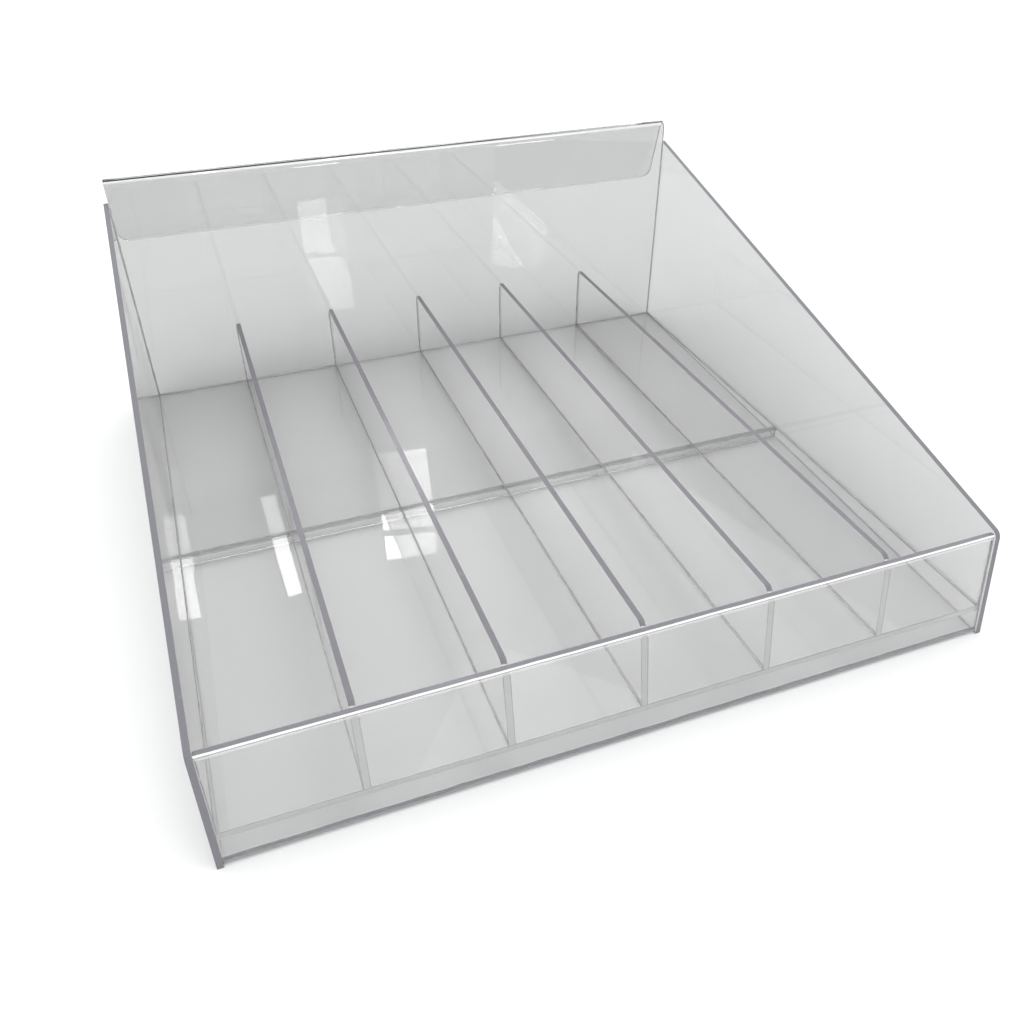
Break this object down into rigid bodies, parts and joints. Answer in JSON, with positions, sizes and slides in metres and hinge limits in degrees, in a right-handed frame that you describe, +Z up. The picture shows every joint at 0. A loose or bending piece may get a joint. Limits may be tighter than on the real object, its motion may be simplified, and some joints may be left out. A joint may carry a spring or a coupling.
{
  "type": "divided display tray",
  "caption": "Clear open tray with sloping sides, lengthwise compartments and a hanging lip folded over the top of its back, bonded from flat sheet.",
  "frame": {"origin": "centre of the footprint, on the surface the tray stands on", "axes": "+Z up, -Y towards the low front panel, X across the width"},
  "size_m": [0.4, 0.4144, 0.155],
  "materials": {
    "clear_sheet": "clear cast acrylic, polished faces, sawn edges that read dark"
  },
  "bodies": {
    "root": {"left_side_panel": "clear_sheet", "right_side_panel": "clear_sheet", "front_panel": "clear_sheet", "floor_panel": "clear_sheet", "back_panel": "clear_sheet", "divider_1": "clear_sheet", "divider_2": "clear_sheet", "divider_3": "clear_sheet", "divider_4": "clear_sheet", "divider_5": "clear_sheet", "cross_rib": "clear_sheet"}
  },
  "joints": []
}
